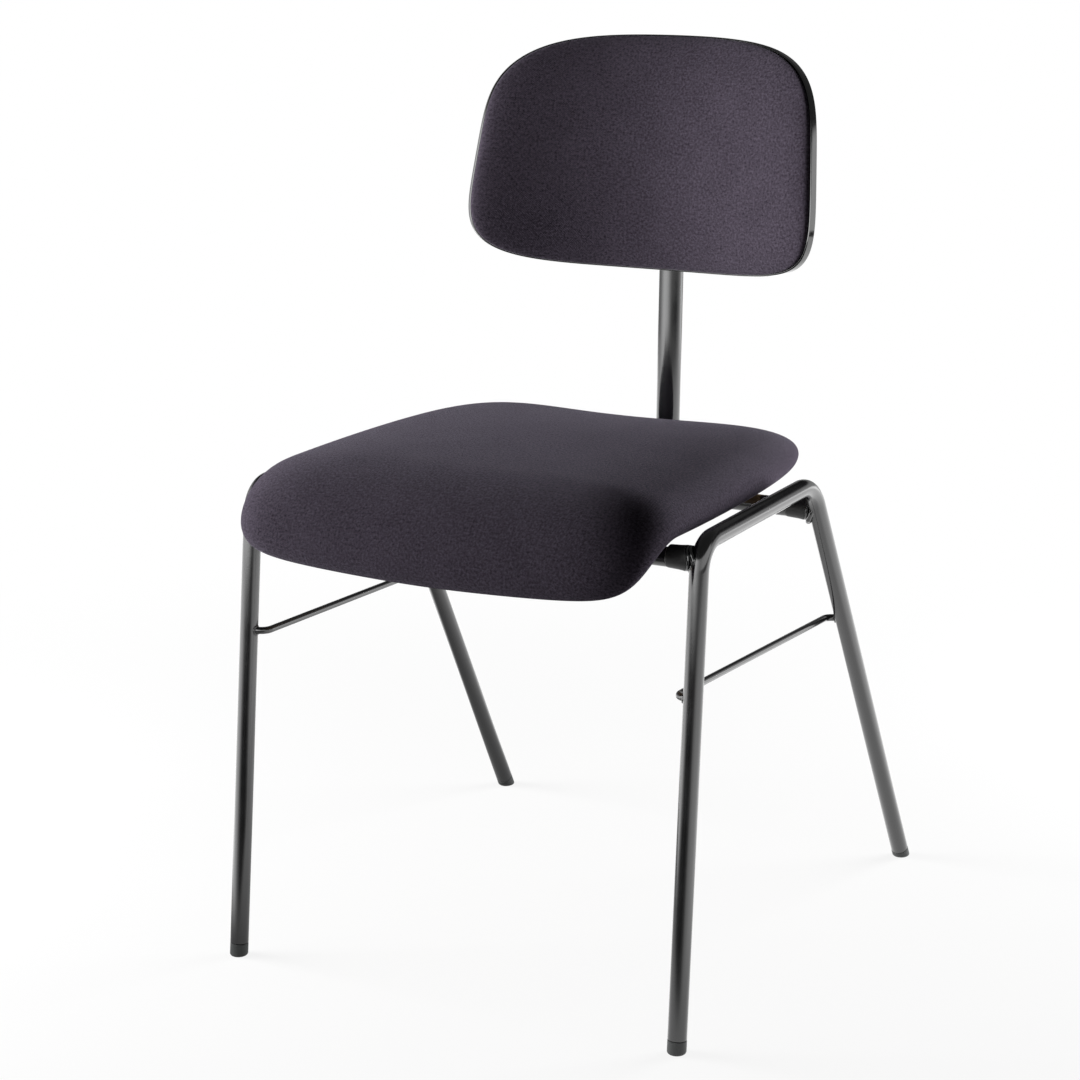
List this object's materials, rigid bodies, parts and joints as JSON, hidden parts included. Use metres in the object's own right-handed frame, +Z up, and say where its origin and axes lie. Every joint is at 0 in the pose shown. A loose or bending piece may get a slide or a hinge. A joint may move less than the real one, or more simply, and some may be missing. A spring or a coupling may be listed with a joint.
{
  "type": "choir chair",
  "caption": "Stacking chair with bent tube side frames, a waterfall-front upholstered seat and a curved upholstered backrest on one tube post.",
  "frame": {"origin": "on the floor, under the middle of the chair's bounding box", "axes": "+Z up; the sitter faces -Y; +X is to the right for someone who looks along +Y, so it is the sitter's left; x = 0 is the mirror plane"},
  "size_m": [0.507, 0.6222, 0.8756],
  "materials": {
    "frame_black": "satin black powder coat",
    "rod_black": "satin black powder coat",
    "foot_grey": "moulded dark grey plastic, fine grain",
    "bar_black": "satin black powder coat",
    "boss_black": "satin black powder coat over the weld",
    "sleeve_black": "moulded black plastic, low sheen",
    "post_black": "satin black powder coat",
    "plug_grey": "moulded black plastic",
    "saddle_grey": "moulded black plastic",
    "zinc": "bright zinc plate",
    "screw_black": "black oxide",
    "plywood": "moulded beech plywood, bare",
    "seat_fabric": "finely woven dark aubergine grey upholstery",
    "back_fabric": "finely woven dark aubergine grey upholstery",
    "shell_gloss": "glossy black moulded shell",
    "socket_black": "satin black powder coat"
  },
  "bodies": {
    "root": {"left_side_frame": "frame_black", "right_side_frame": "frame_black", "left_stacking_rod": "rod_black", "right_stacking_rod": "rod_black", "front_left_foot": "foot_grey", "front_right_foot": "foot_grey", "rear_left_foot": "foot_grey", "rear_right_foot": "foot_grey", "front_crossbar": "bar_black", "rear_crossbar": "bar_black", "front_left_boss": "boss_black", "front_right_boss": "boss_black", "rear_left_boss": "boss_black", "rear_right_boss": "boss_black", "front_left_sleeve": "sleeve_black", "front_right_sleeve": "sleeve_black", "rear_left_sleeve": "sleeve_black", "rear_right_sleeve": "sleeve_black", "back_post": "post_black", "post_tail_plug": "plug_grey", "front_seat_saddles": "saddle_grey", "rear_seat_saddles": "saddle_grey", "seat_bolts": "zinc", "seat_washers": "zinc", "seat_tee_nuts": "zinc", "socket_tee_nuts": "zinc", "post_lock_nut": "zinc", "socket_screws": "screw_black", "post_lock_screw": "screw_black", "seat_shell": "plywood", "back_board": "plywood", "seat_cushion": "seat_fabric", "back_cushion": "back_fabric", "back_shell": "shell_gloss", "back_socket": "socket_black"}
  },
  "joints": []
}
